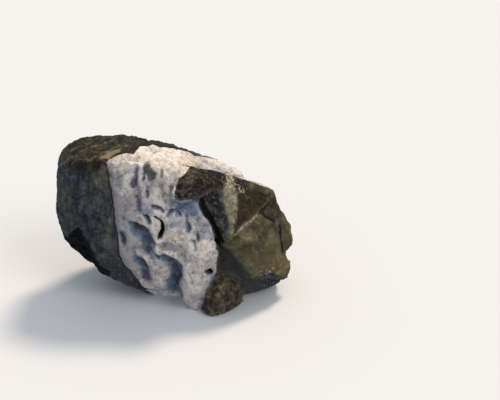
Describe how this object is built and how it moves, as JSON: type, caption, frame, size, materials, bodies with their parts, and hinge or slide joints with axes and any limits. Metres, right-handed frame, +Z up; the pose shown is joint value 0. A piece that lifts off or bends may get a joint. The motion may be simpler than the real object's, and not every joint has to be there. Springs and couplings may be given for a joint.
{
  "type": "leopard stone",
  "caption": "Natural dark aquascape stone crossed by a pale, pitted chalky band, with broken olive-brown facets and a flat side to rest on.",
  "frame": {"origin": "point on the flat underside, near the middle of the stone", "axes": "+X along the stone's length, +Y to its back, away from the face with the pale band, +Z up"},
  "size_m": [0.2, 0.118, 0.1366],
  "materials": {
    "stone": "rough dark grey-brown rock with a chalky cream band across it"
  },
  "bodies": {
    "root": {"stone": "stone"}
  },
  "joints": []
}
